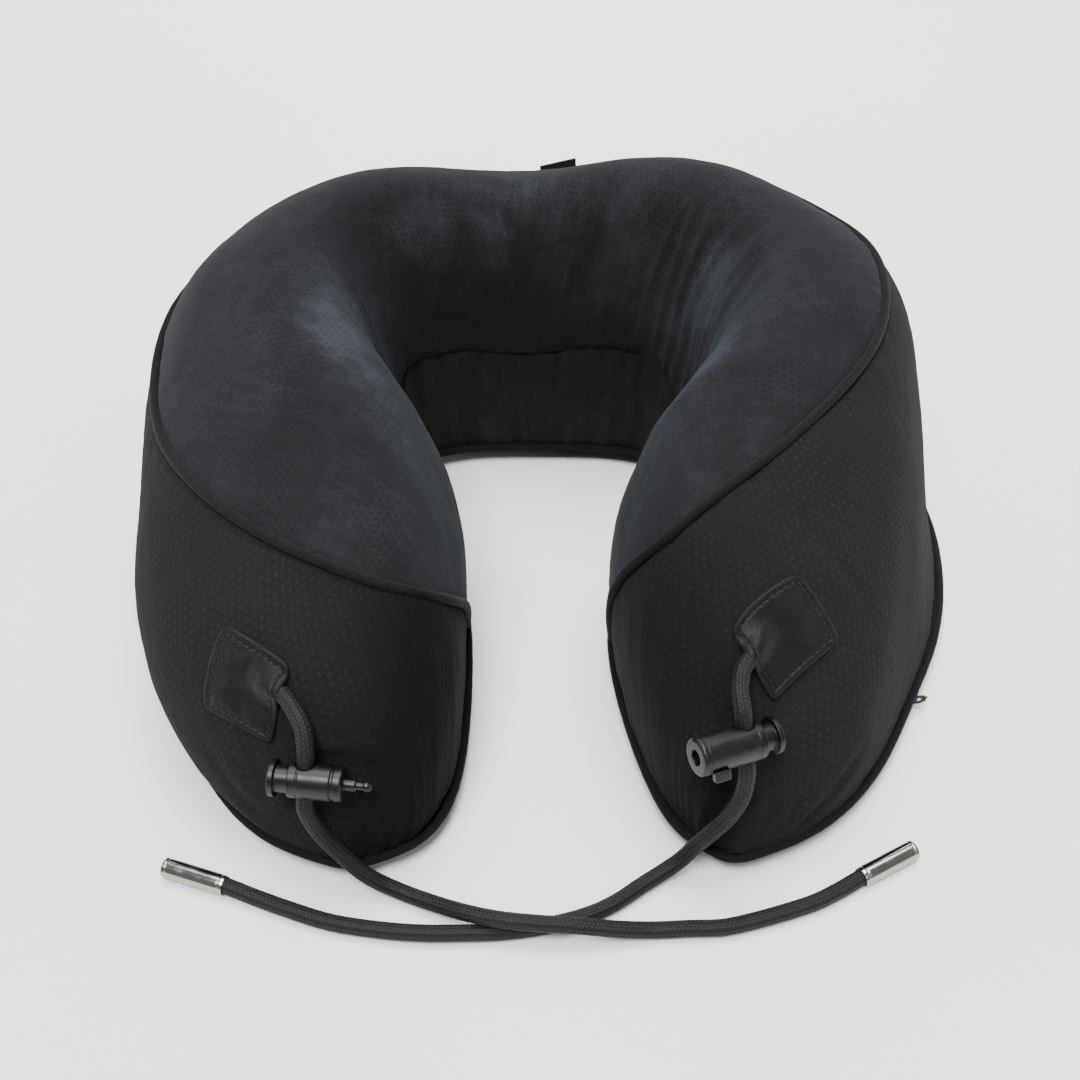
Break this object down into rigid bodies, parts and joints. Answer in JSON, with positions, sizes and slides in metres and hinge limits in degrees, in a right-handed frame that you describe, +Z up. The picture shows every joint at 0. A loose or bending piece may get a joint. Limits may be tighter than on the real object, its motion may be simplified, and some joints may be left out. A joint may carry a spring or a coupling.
{
  "type": "neck pillow",
  "caption": "U shaped padded travel neck pillow with a zipped velour and knit cover, piped seams, braided front cords, plug and socket cord locks and metal cord ends.",
  "frame": {"origin": "under the middle of the pillow's box, on the surface it rests on; the cords and what is on them are left out of that box", "axes": "+X across the two arms, towards the arm with the zip; +Y from the open front towards the back of the neck; +Z up"},
  "size_m": [0.3052, 0.3097, 0.1228],
  "materials": {
    "memory_foam": "slow-recovery polyurethane foam, cream, open cell",
    "velour": "short-pile velour with pin-hole perforations, blue black, brushed nap sheen",
    "side_knit": "honeycomb jacquard knit, black, padded",
    "base_knit": "plain black knit",
    "gathered_band": "gathered black velour strip",
    "piping_cord": "corded piping, satin black",
    "zip_tape": "woven zip tape, black",
    "zip_teeth": "nylon zip coil, black",
    "zip_metal": "die-cast zip slider and stops",
    "label_weave": "blank woven label, black",
    "patch_leather": "grained black synthetic leather with a pressed edge",
    "patch_thread": "dark grey polyester thread",
    "cord_braid": "round braided polyester cord, black",
    "tip_nickel": "polished nickel cord end",
    "lock_plastic": "glossy black moulded acetal",
    "spring_steel": "spring steel wire"
  },
  "bodies": {
    "pillow": {"foam_core": "memory_foam", "velour_panel": "velour", "side_panel": "side_knit", "inner_band": "gathered_band", "base_panel": "base_knit", "upper_piping": "piping_cord", "lower_piping": "piping_cord", "zip_tapes": "zip_tape", "zip_coil": "zip_teeth", "zip_stops": "zip_metal", "back_label": "label_weave", "left_patch": "patch_leather", "right_patch": "patch_leather", "left_patch_thread": "patch_thread", "right_patch_thread": "patch_thread", "left_cord": "cord_braid", "right_cord": "cord_braid", "left_cord_tip": "tip_nickel", "right_cord_tip": "tip_nickel"},
    "left_lock": {"left_lock_barrel": "lock_plastic", "left_lock_spring": "spring_steel"},
    "left_plunger": {"left_lock_plunger": "lock_plastic"},
    "right_lock": {"right_lock_barrel": "lock_plastic", "right_lock_spring": "spring_steel"},
    "right_plunger": {"right_lock_plunger": "lock_plastic"},
    "zip_slider": {"zip_slider": "zip_metal"},
    "zip_pull": {"zip_pull": "zip_metal"}
  },
  "joints": [
    {"name": "left_lock_slide", "type": "slide", "parent": "pillow", "child": "left_lock", "axis": [0.0496, 0.4037, 0.9135], "range_m": [-0.004, 0.004]},
    {"name": "left_plunger_press", "type": "slide", "parent": "left_lock", "child": "left_plunger", "axis": [0.9925, -0.1219, 0], "range_m": [0, 0.0025], "stiffness_N_per_m": 600, "springref_m": -0.001, "deforming": ["left_lock_spring"]},
    {"name": "right_lock_slide", "type": "slide", "parent": "pillow", "child": "right_lock", "axis": [-0.0985, 0.4388, 0.8932], "range_m": [-0.004, 0.004]},
    {"name": "right_plunger_press", "type": "slide", "parent": "right_lock", "child": "right_plunger", "axis": [-0.9076, -0.4076, 0.1002], "range_m": [0, 0.0025], "stiffness_N_per_m": 600, "springref_m": -0.001, "deforming": ["right_lock_spring"]},
    {"name": "zip_slider_travel", "type": "hinge", "parent": "pillow", "child": "zip_slider", "pos_m": [-0.015, 0.0165, 0], "axis": [0, 0, 1], "range_deg": [0, 56]},
    {"name": "zip_pull_flip", "type": "hinge", "parent": "zip_slider", "child": "zip_pull", "pos_m": [0.12685, -0.06857, 0.00133], "axis": [0.5143, 0.8576, 0], "range_deg": [0, 170]}
  ]
}
